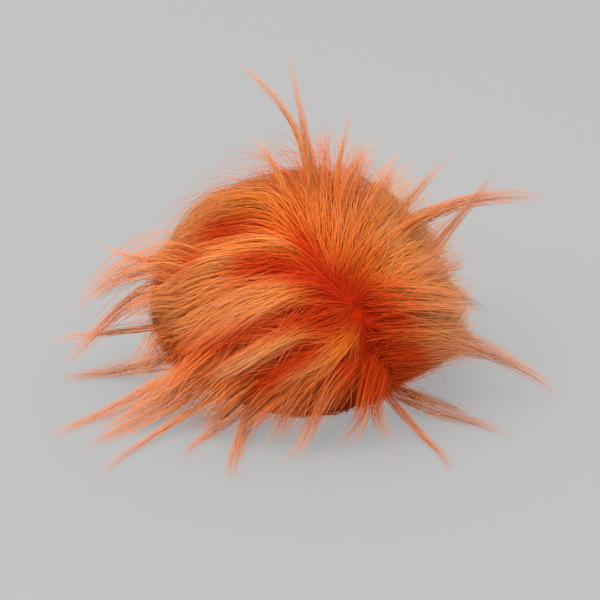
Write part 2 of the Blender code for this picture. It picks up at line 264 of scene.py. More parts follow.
# Strays, the hairs of the pile that hardly belong to a lock or tuft
STRAY_SHARE = 0.12  # of all
TUFT_STRAYS = 0.34  # how many more where the pile stands up
RIGHT_STRAYS = 0.2  # and at the right
FRONT_STRAYS = 0.15  # share of them that is left on the combed front
FRONT_RANGE = (-34.0, -4.0)  # along Y, behind that front
STRAY_TO_LOCK = 0.1
STANDING_TO_LOCK = 0.25  # how much more where the pile stands up
STRAY_TO_TUFT = 0.2  # share of the other hairs'
STRAY_CLIMB = (0.02, 0.3)  # by how many radians they climb more
STANDING_CLIMB = 2.2  # how many times as much more where the pile stands up
LEFT_CALM = 0.75  # share of it that is lost to the left
LEFT_CALM_RANGE = (-8.0, 17.0)  # to the left of the middle
STRAY_RANGE = (20.0, 50.0)  # levels over which they come to it
STRAY_WAVER = 2.0

# The foot of the pile
BED_LEVELS = (0.3, 3.0)  # at which hairs come to lie
FLOOR_FOLLOW = 0.6  # how far they keep their way there, against straight out
LYING = 0.5  # height over its bed up to which a hair lies
SPILL = 5.0  # length of a hair that lies there, at most
SPILL_VARY = (0.2, 1.0)
LEAST_KEPT = 0.15  # share of a hair that is kept in any case
LEAST_LEVEL = 0.25  # of a hair's middle line

# Tones of the pile
PILE_TONE = 0.58
LOCK_VARY = 0.09  # from lock to lock
TUFT_VARY = 0.04  # from tuft to tuft
HAIR_VARY = 0.02  # from hair to hair
RANK_LIGHT_AND_SHADE = 0.10  # painted shade on the lowest hairs and painted light on the uppermost
STRAY_TONE = 0.1  # how much paler strays are
TUFT_TONE = 0.14  # how much deeper the tuft at the crown is
TUFT_EVEN = 0.6  # how much less its tones vary
LOW_SHADE_LEVEL = 54.0  # level below which the pile is painted deeper, as painted shade low down
LOW_PAINTED_SHADE = 0.68  # how much deeper that painted shade makes it at the floor
PARTING_PAINTED_SHADE = 0.34  # how much deeper painted shade makes it near the parting, a hollow
FAN_TONE = 0.85  # how much paler the fan at the right is
FAN_RANGE = (30.0, 54.0)  # to the right of the middle
FAN_LEVEL = 60.0  # above which that sets in nearer the middle
FAN_SLANT = 0.5  # how much nearer, for each millimetre of height

# Widths of single hairs
PILE_WIDTH = 0.19
STRAY_WIDTH = 0.12
WIDTH_VARY = (0.75, 1.15)
LONG_WIDTH = 0.17
LONG_WIDTH_VARY = (0.7, 1.15)
LOOSE_WIDTH = 0.06
LOOSE_WIDTH_VARY = (0.7, 1.2)
ROOT_TAPER = 0.8  # width at the root, against the greatest
TIP_TAPER = 0.25  # width to which it narrows before its point
TIP_POWER = 1.5  # how late the taper sets in
FULLEST = 0.35  # share of its length at which a hair is widest

# How hairs are shaded
SOFTNESS = 0.95  # how much like the coat, not for themselves
COAT_UP = 0.25  # how far the coat is shaded as if it lay level
CLEAR_UP = 2.0  # how much more of that a hair has which is clear of it
CLEAR_OF_COAT = 30.0  # how far off the ball that is

# Long locks, much as in the CAD: four points of each, from its roots in the coat to its tip,
# then its width where it leaves the coat and at the tip
LONG_LOCKS = (
    ("top left wisp", ((0, 0, 86), (-5, 4, 111), (-15, 9, 124), (-35, 14, 137)), 2.4, 1.8),
    ("top upright wisp", ((4, 0, 86), (0, 6, 105), (-3, 12, 118), (-6, 20, 135)), 3, 1.4),
    ("upper right long", ((27, -30, 70), (36, -2, 77), (49, 4, 91), (59, 10, 98)), 6, 1.4),
    ("right long upper", ((26, -29, 71), (39, -6, 75), (58, -2, 82), (85, 2, 86)), 6, 2.2),
    ("right long lower", ((27, -30, 70), (40, -8, 75), (63, -4, 83), (99, 0, 79)), 6, 2.2),
    ("right thick", ((33, -36, 56), (45, -13, 62), (59, -12, 80), (78, -8, 103)), 8, 2),
    ("right short", ((34, -37, 52), (50, -12, 53), (57, -12, 58), (63, -12, 68)), 8, 3),
    ("right level", ((32, -39, 56), (48, -10, 44), (59, -10, 42), (70, -10, 39)), 12, 4),
    ("right low sweep", ((27, -46, 45), (50, -16, 30), (72, -16, 24), (106, -25, 1)), 13, 4),
    ("fan upper", ((31, -34, 60), (42, -24, 63), (51, -18, 64), (56, -14, 69)), 12, 7),
    ("fan middle", ((28, -42, 60), (42, -34, 55), (55, -26, 48), (65, -20, 44)), 14, 9),
    ("fan deep", ((29, -43, 47), (44, -34, 42), (57, -27, 35), (67, -22, 28)), 14, 9),
    ("fan lower", ((30, -42, 38), (44, -34, 34), (60, -26, 30), (69, -22, 26)), 12, 8),
    ("fan foot", ((33, -38, 27), (44, -30, 27), (55, -24, 29), (64, -20, 27)), 10, 6),
    ("crown wisp", ((14, -12, 84), (17, -4, 93), (20, -2, 100), (22, 0, 107)), 6, 2.5),
    ("crown right wisp", ((26, -16, 80), (29, -6, 90), (32, -4, 96), (31, -2, 100)), 5, 2),
    ("crown fine left", ((0, -4, 86), (0, 3, 99), (-3, 6, 109), (-4, 8, 117)), 1.6, 1.2),
    ("crown fine middle", ((7, -4, 86), (7, 3, 97), (8, 6, 107), (9, 8, 115)), 1.6, 1.2),
    ("crown fine right", ((11, -6, 86), (13, 2, 98), (16, 6, 109), (18, 9, 117)), 1.6, 1.2),
    ("crown left wisp", ((-8, -4, 85), (-13, 3, 96), (-18, 6, 102), (-23, 8, 107)), 3, 2),
    ("right low edge", ((30, -44, 32), (44, -22, 25), (59, -18, 26), (77, -16, 20)), 10, 4),
    ("front right floor", ((27, -45, 28), (39, -28, 9), (57, -30, 1), (80, -49, 1)), 7, 3),
    ("front right second", ((29, -44, 29), (42, -25, 9), (57, -21, 1), (68, -35, 1)), 5, 2.4),
    ("front right wisp", ((28, -42, 23), (37, -37, 8), (47, -47, 1), (53, -69, 1)), 3, 1.2),
    ("left upper sweep", ((-42, -20, 63), (-63, -8, 58), (-79, -6, 47), (-91, -4, 33)), 15, 5),
    ("left flyaway", ((-55, -4, 57), (-66, 0, 56), (-74, 4, 57), (-84, 8, 60)), 2, 1),
    ("left long", ((-51, -13, 50), (-73, 2, 34), (-88, 0, 20), (-104, 1, 2)), 8, 2.4),
    ("left level", ((-51, -22, 41), (-71, 2, 23), (-89, 4, 19), (-111, 6, 15)), 5, 1.8),
    ("left floor wisp", ((-50, -25, 25), (-69, -2, 8), (-87, 3, 1), (-105, -3, 1)), 7, 3),
    ("lower left rear", ((-41, -35, 29), (-60, -24, 12), (-83, -29, 1), (-103, -54, 1)), 7, 2.4),
    ("lower left thick", ((-36, -40, 30), (-55, -30, 13), (-71, -33, 2), (-85, -49, 1)), 11, 4),
    ("lower left pale", ((-28, -45, 30), (-48, -34, 11), (-67, -39, 1), (-82, -54, 1)), 7, 4),
    ("lower left fine", ((-25, -46, 29), (-45, -37, 8), (-64, -51, 1), (-78, -81, 1)), 3, 1.6),
    ("left heap", ((-45, -25, 53), (-58, -16, 46), (-64, -11, 38), (-69, -8, 26)), 14, 8),
    ("left foot", ((-47, -23, 37), (-57, -14, 27), (-62, -10, 17), (-66, -8, 8)), 14, 8),
    ("lower left heap", ((-34, -42, 38), (-46, -36, 24), (-54, -28, 10), (-60, -26, 3)), 15, 9),
    ("lower left foot", ((-22, -48, 30), (-34, -44, 16), (-42, -36, 6), (-48, -33, 2)), 15, 10),
    ("front left floor", ((-9, -52, 35), (-26, -38, 12), (-39, -44, 1), (-47, -65, 1)), 8, 2),
    ("front floor", ((-6, -52, 30), (-21, -41, 11), (-26, -49, 1), (-27, -78, 1)), 8, 2.2),
    ("front thick", ((16, -53, 40), (6, -54, 24), (0, -53, 9), (-7, -61, 1)), 8, 3.6),
    ("front short", ((25, -51, 38), (22, -53, 22), (19, -51, 8), (8, -57, 1)), 7, 3.4),
    ("front right short", ((28, -48, 34), (27, -50, 20), (29, -47, 8), (36, -50, 1)), 5.4, 3),
    ("front foot", ((4, -53, 34), (-6, -52, 20), (-12, -48, 8), (-18, -46, 1)), 10, 4),
    ("front left foot", ((-8, -52, 28), (-18, -49, 16), (-26, -44, 6), (-31, -43, 1)), 10, 4),
    ("rear left floor", ((-40, 34, 36), (-38, 34, 14), (-50, 46, 2), (-62, 68, 1)), 6, 2.4),
    ("rear floor", ((-9, 50, 36), (-8, 46, 14), (-12, 62, 2), (-8, 84, 1)), 6, 2.4),
    ("rear right floor", ((35, 39, 36), (33, 36, 14), (44, 52, 2), (56, 70, 1)), 6, 2.4),
    ("rear right side", ((46, 21, 50), (54, 28, 36), (64, 34, 24), (82, 42, 6)), 6, 2.4),
    ("rear flank", ((12, 40, 68), (14, 55, 55), (16, 66, 46), (18, 80, 30)), 6, 2.4),
    ("rear left side", ((-38, 24, 58), (-51, 34, 47), (-60, 42, 38), (-74, 52, 22)), 6, 2.4),
)
LONG_RINGS = 8
HAIRS_PER_MM = 16.0  # of a long lock's mean width
ROOTS_WIDER = 1.2  # width over which its hairs are rooted, against where it leaves
NARROWED = 0.65  # share of its narrowing that is done by its third point
WIDTH_SPREADS = 4.0  # its width, against the spread of its hairs
STRANDS = 3  # into which a long lock splits
STRANDS_APART = np.array((0.0, 0.2, 0.6, 0.9))  # at its four points, against the tip's width
LONG_REACH = (0.85, 1.04)  # share of its length that a strand has
LONG_SHORTER = 0.4  # how much shorter than its strand a hair is at most
FRAY = 5.0  # how far a hair's tip leaves its strand at most
LONG_WAVER = 0.5
LONG_LEVELS = (0.2, 1.4)  # lowest level of a hair
LONG_BEGIN = 0.5  # where along the fur's colours a long hair begins
LONG_TONE = 0.62
LONG_LOCK_VARY = 0.06  # from lock to lock
LONG_HAIR_VARY = 0.1  # from hair to hair
LONG_PARTING_PAINTED_SHADE = 0.6  # how much deeper painted shade makes them near the parting
LONG_LOW_PAINTED_SHADE = 0.48  # how much deeper painted shade makes them low down, where they lie on the coat
ON_COAT = 12.0  # height over which that fades
ON_COAT_FULL = 0.2  # share of this height up to which it is full

# Single fine hairs on the floor
LOOSE_HAIRS = 40
LOOSE_ANGLES = (150.0, 390.0)  # degrees round the middle, 0 is the right, 90 the back
LOOSE_START = 44.0  # from the middle, inside the pile
LOOSE_START_LEVELS = (14.0, 34.0)
LOOSE_FOOT = 56.0  # from the middle, where they come out of it
LOOSE_FOOT_LEVEL = 8.0
LOOSE_REACH = 92.0  # from the middle to the farthest tip
LOOSE_OUT = (0.1, 1.0)  # share of the way from the foot to there
LOOSE_ASTRAY = 16.0  # how far the tips stray to the side
LOOSE_BEND = 0.3  # share of that half way out
LOOSE_WAVER = 1.2
LOOSE_LEVELS = (0.15, 0.8)  # lowest level of a hair
LOOSE_TONE = 0.8

# Colours along a hair, from its root at 0 to its tip at 1
DEEP_STOPS = (
    (0.0, (0.36, 0.012, 0.001)),
    (0.4, (0.47, 0.027, 0.001)),
    (0.8, (0.56, 0.048, 0.002)),
    (1.0, (0.59, 0.075, 0.004)),
)
PALE_STOPS = (
    (0.0, (0.61, 0.075, 0.003)),
    (0.3, (0.68, 0.165, 0.012)),
    (0.7, (0.65, 0.255, 0.075)),
    (1.0, (0.60, 0.340, 0.205)),
)
UNDERCOAT_STOPS = (  # by its noise
    (0.3, (0.40, 0.016, 0.001)),
    (0.7, (0.52, 0.028, 0.001)),
)
FUR_ROUGHNESS = 0.5
FUR_GLOSS = 0.05
MIX_INPUTS = (0, 6, 7)  # a mix node's sockets for its factor and its two colours
MIX_OUTPUT = 2  # and the one for the mixed colour

# Texture coordinates: a narrow column for each tone, and the length of the hair up it
TONE_COLUMNS = 200
COLUMN_START = 0.2  # place of a ring's first corner in its column
COLUMN_STEP = 0.3  # from there to the next corner
COLUMN_FOOT = 0.02  # left free below and above

# The floor and the light, in metres
FLOOR_SIZE = 8.0
FLOOR_GREY = 0.11
FLOOR_GLOW = 0.32
PANEL_PLACE = (-1.3, -1.2, 2.6)
PANEL_SIZE = 3.0
PANEL_POWER = 110.0  # watts
STUDIO_GREY = 0.8
STUDIO_STRENGTH = 1.75

# The photograph's view
CAMERA_PLACE = Vector((-2.4, -503.3, 305.4))
CAMERA_TARGET = Vector((-2.4, -3.0, 39.3))
LENS = 85.0


def unit(vectors):
    """Return vectors scaled to length one."""
    return vectors / np.maximum(np.linalg.norm(vectors, axis=-1, keepdims=True), 1e-9)


def dot(first, second):
    """Return the dot products of two rows of vectors, as a column."""
    return np.sum(first * second, axis=-1, keepdims=True)


def smooth_step(values):
    """Return a soft ramp from 0 to 1."""
    values = np.clip(values, 0.0, 1.0)
    return values * values * (3.0 - 2.0 * values)


def ramp(values, start, end):
    """Return a soft ramp from 0 at a start to 1 at an end."""
    return smooth_step((values - start) / (end - start))


def fade(far, reach, full):
    """Return 1 up to some reaches away, and a soft fall to 0 over one reach more."""
    return smooth_step(1.0 + full - far / reach)


def ball_point(ways):
    """Return the points of the ball that lie in some directions from its centre."""
    x, y, z = ways[..., 0], ways[..., 1], ways[..., 2]
    rise = np.where(z > 0.0, BALL_RISE, BALL_DROP)
    lumps = 1.0
    for along_x, along_y, along_z, phase in LUMP_WAVES:
        lumps = lumps * np.sin(along_x * x + along_y * y + along_z * z + phase)
    flat = smooth_step((FLAT_RIGHT * x + FLAT_UP * z - FLAT_FROM) / FLAT_OVER)
    size = 1.0 + LUMP_DEPTH * lumps - FLAT_DEPTH * flat
    return np.stack((BALL_HALF_WIDTH * x * size,
                     BALL_HALF_DEPTH * y * size,
                     WIDEST_LEVEL + rise * z * size), axis=-1)


def ball_normal(points):
    """Return the outward directions of the ball's surface under some points."""
    height = points[..., 2] - WIDEST_LEVEL
    rise = np.where(height > 0.0, BALL_RISE, BALL_DROP)
    hang = np.where(height > 0.0, 1.0, HANG)
    return unit(np.stack((points[..., 0] / BALL_HALF_WIDTH ** 2,
                          points[..., 1] / BALL_HALF_DEPTH ** 2,
                          hang * height / rise ** 2), axis=-1))


def above_ball(points):
    """Return how far some points lie outside the ball, as a column."""
    height = points[..., 2] - WIDEST_LEVEL
    rise = np.where(height > 0.0, BALL_RISE, BALL_DROP)
    scaled = np.sqrt((points[..., 0] / BALL_HALF_WIDTH) ** 2
                     + (points[..., 1] / BALL_HALF_DEPTH) ** 2 + (height / rise) ** 2)
    return ((scaled - 1.0) * BALL_HALF_DEPTH)[..., None]


def ripple(points, wavelength, phase):
    """Return a smooth, irregular number from -1 to 1 for each point, as a column.

    It sums two waves that cross, with unlike numbers along the axes, so as not to repeat.
    """
    x, y, z = np.split(points * (math.tau / wavelength), 3, axis=-1)
    return (np.sin(x + 1.3 * y + phase) * np.cos(0.9 * z - 0.7 * x + 2.1 * phase)
            + np.sin(1.7 * z + 0.8 * y + 3.7 * phase) * np.cos(1.1 * x - 0.6 * z + phase)) * 0.5


def from_parting(points):
    """Return the vectors from the ragged parting line to some points."""
    astray = [ripple(points, PARTING_WAVE, phase) for phase in PARTING_PHASES]
    points = points + np.concatenate(astray, -1) * PARTING_RAGGED
    line = PARTING_END - PARTING_START
    share = (points - PARTING_START) @ line / (line @ line)
    return points - PARTING_START - line * np.clip(share, 0.0, 1.0)[..., None]


def near_parting(points, full):
    """Return 1 up to some reaches from the parting and 0 one reach farther, as a column."""
    far = np.linalg.norm(from_parting(points), axis=-1, keepdims=True)
    return fade(far, PARTING_REACH, full)


def share_within(points, place):
    """Return 1 near the middle of a place, falling to 0 a little out of reach, as a column."""
    middle, reach = place
    return fade(np.linalg.norm(points - middle, axis=-1, keepdims=True), reach, FULL_REACHES)


def low_shade_share(points):
    """Return 1 for points on the floor, falling to 0 above the level of the painted shade low
    down.
    """
    return smooth_step((LOW_SHADE_LEVEL - points[..., 2]) / LOW_SHADE_LEVEL)


def pile_flow(points, normals):
    """Return the directions in which the pile lies: off the parting, and down."""
    away = from_parting(points)
    far = np.linalg.norm(away, axis=-1, keepdims=True)
    fall = WEIGHT_OF_PILE * smooth_step(far / FALL_DISTANCE)
    fall = fall * (1.0 - share_within(points, TUFT))
    outward = unit(points * LEVEL) * FLARE
    flow = unit(away) + outward - UP * fall
    flow = unit(flow - normals * dot(flow, normals))
    apart = np.linalg.norm(points[..., None, :] - COMB_PLACES, axis=-1)
    combed = np.exp(-(apart / COMB_REACH) ** 2) @ COMB_WAYS
    flow = flow * UNCOMBED + combed
    return unit(flow - normals * dot(flow, normals))


def run_points(runs):
    """Return points along all the ridges or hollows."""
    points = []
    for _, corners in runs:
        for first, second in zip(corners, corners[1:]):
            first, second = np.array(first, float), np.array(second, float)
            count = max(1, round(np.linalg.norm(second - first) / RUN_STEP))
            points.extend(first + (second - first) * index / count for index in range(count))
    return np.array(points)


def nearest_places(points, places):
    """Return the number of the nearest place to each point."""
    tree = KDTree(len(places))
    for number, place in enumerate(places):
        tree.insert(place, number)
    tree.balance()
    return np.array([tree.find(point)[1] for point in points])


def near_runs(points, runs, draw):
    """Return the vectors along the coat from some points to the nearest run, and how near."""
    places = run_points(runs)
    normal = ball_normal(points)
    to_run = places[nearest_places(points, places)] - points
    height = dot(to_run, normal)
    across = to_run - normal * height
    far = np.linalg.norm(across, axis=-1, keepdims=True)
    return across, np.exp(-(far / draw) ** 2) * np.exp(-(height / RUN_DEEP) ** 2)


def heap(hairs):
    """Heap hairs on ridges and sink them in hollows; return them and their painted light and
    shade.
    """
    points = hairs.reshape(-1, 3)
    normal = ball_normal(points)
    across, close = near_runs(points, RIDGES, RIDGE_DRAW)
    points = points + across * close * RIDGE_PULL + normal * close * RIDGE_LIFT
    # Painted light: hairs on a ridge are made paler.
    tone = close * RIDGE_PAINTED_LIGHT
    across, close = near_runs(points, HOLLOWS, HOLLOW_DRAW)
    drop = np.clip(above_ball(points), 0.0, HOLLOW_DROP)
    points = points - across * close * HOLLOW_PUSH - normal * close * drop
    # Painted shade: hairs in a hollow are made deeper in colour.
    tone = tone - close * HOLLOW_PAINTED_SHADE
    return points.reshape(hairs.shape), tone.reshape(hairs.shape[:2])


def coat_depth(points):
    """Return how deep the pile may lie over the ball at some points, as a column."""
    high = ramp(points[..., 2:], *LOW_RANGE)
    right = ramp(points[..., :1], *RIGHT_RANGE)
    left = ramp(-points[..., :1], *LEFT_RANGE)
    return (COAT_DEPTH * (LOW_SHARE + (1.0 - LOW_SHARE) * high)
            * (1.0 - (1.0 - RIGHT_SHARE) * right) + LEFT_MORE * left)


def spread_ways(count, chance):
    """Return directions spread nearly evenly over the ball above its lowest roots."""
    index = np.arange(count)
    height = 1.0 - (1.0 - LOWEST_ROOT) * (index + 0.5) / count
    ring = np.sqrt(1.0 - height * height)
    turn = GOLDEN_ANGLE * index
    ways = np.stack((ring * np.cos(turn), ring * np.sin(turn), height), -1)
    return unit(ways + chance.normal(0.0, 1.0 / math.sqrt(count), ways.shape))


def crowd_ways(count, chance):
    """Return directions that crowd round the parting."""
    share = chance.uniform(*CROWD_RANGE, (count, 1))
    places = PARTING_START + (PARTING_END - PARTING_START) * share
    places = places + chance.normal(0.0, CROWD_REACH, (count, 3)) - UP * WIDEST_LEVEL
    return unit(places / (BALL_HALF_WIDTH, BALL_HALF_DEPTH, BALL_RISE))


def stiffness(roots, chance):
    """Return how straight hairs run on where the ball turns away, as a column."""
    left = ramp(-roots[:, :1], *LEFT_STIFF_RANGE) * LEFT_STIFF
    right = ramp(roots[:, :1], *RIGHT_STIFF_RANGE) * RIGHT_STIFF
    return (left + right) * chance.uniform(*STIFF_VARY, (len(roots), 1))


def grow(roots, length, climb, turn, bed, room, stiff):
    """Grow hairs over the ball and on along the floor; return their points, step by step."""
    at = roots.copy()
    points = [at]
    last = np.zeros_like(at)
    for step in range(STEPS):
        normal = ball_normal(at)
        flow = pile_flow(at, normal)
        heading = flow * np.cos(turn) + np.cross(normal, flow) * np.sin(turn)
        angle = climb * (1.0 - SETTLE * (step + 0.5) / STEPS)
        move = heading * np.cos(angle) + normal * np.sin(angle)
        move = unit(move * (1.0 - stiff) + last * stiff)
        last = move
        move = move * length / STEPS
        after = at + move
        outward = unit(unit(at * LEVEL) + unit(move * LEVEL) * FLOOR_FOLLOW)
        lying = at + outward * length / STEPS
        lying[:, 2:] = bed
        at = np.where(after[:, 2:] < bed, lying, after)
        above = np.maximum(above_ball(at) - coat_depth(at) * room, 0.0)
        above = above * (1.0 - share_within(at, TUFT)) * (1.0 - stiff)
        at = at - ball_normal(at) * above * PRESS
        at[:, 2:] = np.maximum(at[:, 2:], bed)
        points.append(at)
    return np.stack(points, axis=1)


def gather(points, guides, pull, begin):
    """Draw each hair towards the guide with the nearest root, more and more to its tip."""
    nearest = nearest_places(points[:, 0], guides[:, 0])
    share = np.linspace(0.0, 1.0, points.shape[1])
    rising = smooth_step((share - begin) / (1.0 - begin))[None, :, None]
    return points + (guides[nearest] - points) * rising * pull[:, :, None], nearest


def waver(points, chance, reach):
    """Bend hairs a little to and fro, more towards their tips."""
    count, rings, _ = points.shape
    share = np.linspace(0.0, 1.0, rings)[None, :, None]
    for waves in WAVES:
        side = unit(chance.normal(size=(count, 1, 3))) * reach[:, :, None] / waves
        phase = chance.uniform(0.0, math.tau, (count, 1, 1))
        points = points + side * share * np.sin(math.tau * waves * share + phase)
    return points


def cut_on_floor(points, bed, spill):
    """Return the share of each hair that is kept, with only a little of it on the floor."""
    step = np.linalg.norm(np.diff(points, axis=1), axis=-1)
    lying = points[:, 1:, 2] <= bed + LYING
    free = np.where(lying.any(1), lying.argmax(1), STEPS)
    along = np.cumsum(step, axis=1)
    reach = np.take_along_axis(along, np.clip(free, 0, STEPS - 1)[:, None], 1) + spill
    return np.clip(reach / along[:, -1:], LEAST_KEPT, 1.0)


def resample(points, kept, rings):
    """Return hairs with that many rings over the share of each that is kept."""
    places = kept * np.linspace(0.0, 1.0, rings)[None, :] * (points.shape[1] - 1)
    low = np.clip(np.floor(places).astype(int), 0, points.shape[1] - 2)
    part = (places - low)[..., None]
    index = np.arange(len(points))[:, None]
    return points[index, low] * (1.0 - part) + points[index, low + 1] * part


class Hairs:
    """Hairs that are alike in their number of rings."""

    def __init__(self, points, width, tone, begin=0.0):
        self.points = points
        self.width = width
        self.tone = tone
        self.begin = begin

    def part(self, which):
        """Return some of the hairs."""
        return Hairs(self.points[which], self.width[which], self.tone[which], self.begin)


def make_field(ways, chance, astray, steeper):
    """Grow hairs from the ball in some directions.

    Return them, the levels of their beds and how high each lies in the coat, from 0 to 1.
    """
    column = (len(ways), 1)
    turned, uneven = astray
    roots = ball_point(ways) * ROOT_SCALE + UP * WIDEST_LEVEL * (1.0 - ROOT_SCALE)
    stand = share_within(roots, TUFT)
    right = share_within(roots, RIGHT)
    left = share_within(roots, LEFT)
    bare = near_parting(roots, 0.0)

    length = PILE_LENGTH + (TUFT_LENGTH - PILE_LENGTH) * stand
    length = length + (RIGHT_LENGTH - length) * right
    length = length + (LEFT_LENGTH - length) * left
    length = length * (1.0 + chance.uniform(*LENGTH_VARY, column) * (1.0 + RIGHT_VARY * right))
    length = length * (1.0 - PARTING_SHORTER * bare)

    climb = CLIMB * (1.0 + chance.uniform(-uneven, uneven, column))
    climb = climb * (LOW_CLIMB + (1.0 - LOW_CLIMB) * ramp(roots[:, 2:], *LOW_CLIMB_RANGE))
    climb = climb + TUFT_CLIMB * stand * ramp(roots[:, 1:2], SLEEK_FRONT, 0.0)
    climb = climb + RIGHT_CLIMB * right + LEFT_CLIMB * left + steeper + PARTING_CLIMB * bare

    turn = chance.normal(0.0, turned, column) * (1.0 + PARTING_TURN * bare)
    turn = turn + SWIRL * ripple(roots, SWIRL_WAVE, SWIRL_PHASE)
    bed = chance.uniform(*BED_LEVELS, column)
    rank = chance.uniform(0.0, 1.0, column)
    room = ROOM_LEAST - ROOM_SPREAD * np.log(1.0 - rank) + ROOM_STEEPER * steeper
    return grow(roots, length, climb, turn, bed, room, stiffness(roots, chance)), bed, rank


def free_of_parting(roots):
    """Return how far hairs at some roots may be gathered: near the parting hardly at all."""
    return 1.0 - PARTING_FREE * near_parting(roots, FREE_REACHES)


def pick_strays(roots, stand, chance):
    """Pick the strays; return which hairs they are and how much more each climbs, as columns."""
    column = (len(roots), 1)
    combed = 1.0 - near_parting(roots, STRAYLESS_REACHES)
    combed = combed * (FRONT_STRAYS + (1.0 - FRONT_STRAYS) * ramp(roots[:, 1:2], *FRONT_RANGE))
    right = share_within(roots, RIGHT)
    stray = chance.uniform(size=column) < (STRAY_SHARE + TUFT_STRAYS * stand
                                           + RIGHT_STRAYS * right) * combed
    steeper = chance.uniform(*STRAY_CLIMB, column) * (1.0 + STANDING_CLIMB * stand)
    steeper = steeper * (1.0 - LEFT_CALM * ramp(-roots[:, :1], *LEFT_CALM_RANGE))
    return stray, np.where(stray, steeper * ramp(roots[:, 2:], *STRAY_RANGE), 0.0)


def make_pile(chance):
    """Grow the pile: locks, the tufts that they gather, and the hairs that both gather."""
    locks, _, _ = make_field(spread_ways(LOCKS, chance), chance, LOCK_ASTRAY, 0.0)
    tufts, _, _ = make_field(spread_ways(TUFTS, chance), chance, TUFT_ASTRAY, 0.0)
    pull = TUFT_TO_LOCK * free_of_parting(tufts[:, 0])
    tufts, lock_of = gather(tufts, locks, pull, TUFT_BEGIN)

    ways = spread_ways(PILE_HAIRS - CROWD, chance)
    ways = np.concatenate((ways, crowd_ways(CROWD, chance)))
    places = ball_point(ways)
    stand = share_within(places, TUFT)
    stray, steeper = pick_strays(places, stand, chance)
    hairs, bed, rank = make_field(ways, chance, HAIR_ASTRAY, steeper)

    free = free_of_parting(places)
    pull = np.where(stray, STRAY_TO_LOCK, HAIR_TO_LOCK) + STANDING_TO_LOCK * stand * stray
    hairs, _ = gather(hairs, locks, pull * free, HAIR_BEGIN)
    pull = chance.uniform(0.0, HAIR_TO_TUFT, (PILE_HAIRS, 1)) * (1.0 - TUFT_LOOSER * stand) * free
    pull = pull * np.where(stray, STRAY_TO_TUFT, 1.0)
    hairs, tuft_of = gather(hairs, tufts, pull, HAIR_BEGIN)
    hairs = waver(hairs, chance, np.where(stray, STRAY_WAVER, PILE_WAVER))
    kept = cut_on_floor(hairs, bed, chance.uniform(*SPILL_VARY, (PILE_HAIRS, 1)) * SPILL)
    hairs, relief_light_and_shade = heap(resample(hairs, kept, PILE_RINGS))
    hairs[..., 2] = np.maximum(hairs[..., 2], LEAST_LEVEL)

    stray, stand, rank = stray[:, 0], stand[:, 0], rank[:, 0]
    width = np.where(stray, STRAY_WIDTH, PILE_WIDTH) * chance.uniform(*WIDTH_VARY, PILE_HAIRS)
    vary = chance.normal(0.0, LOCK_VARY, LOCKS)[lock_of][tuft_of]
    vary = vary + chance.normal(0.0, TUFT_VARY, TUFTS)[tuft_of]
    # Painted light and shade: the uppermost hairs are made paler, the lowest deeper.
    vary = vary + chance.normal(0.0, HAIR_VARY, PILE_HAIRS) + RANK_LIGHT_AND_SHADE * (rank - 0.5)
    tone = PILE_TONE + vary * (1.0 - TUFT_EVEN * stand) + STRAY_TONE * stray - TUFT_TONE * stand
    fan = ramp(hairs[..., 0] + FAN_SLANT * (hairs[..., 2] - FAN_LEVEL), *FAN_RANGE)
    # Painted shade near the parting's hollow: this mask makes the pile deeper there.
    bare = near_parting(hairs, SHADED_REACHES)[..., 0]
    # The heap's tone is painted light on ridges and painted shade in hollows.
    tone = tone[:, None] + relief_light_and_shade + FAN_TONE * fan
    # Painted shade: the pile is made deeper low down towards the floor, and near the parting.
    tone = tone - LOW_PAINTED_SHADE * low_shade_share(hairs) - PARTING_PAINTED_SHADE * bare
    return Hairs(hairs, width, np.clip(tone, 0.0, 1.0))


def bend_weights(corners, share):
    """Return how much each of a bend's corners counts at some shares of its length.

    The bend is the polynomial that runs through all the corners, each at its own share.
    """
    legs = np.linalg.norm(np.diff(corners, axis=0), axis=1)
    places = np.append(0.0, np.cumsum(legs)) / legs.sum()
    weights = []
    for one, place in enumerate(places):
        others = np.delete(places, one)
        weights.append(np.prod((share[..., None] - others) / (place - others), axis=-1))
    return np.stack(weights, axis=-1)


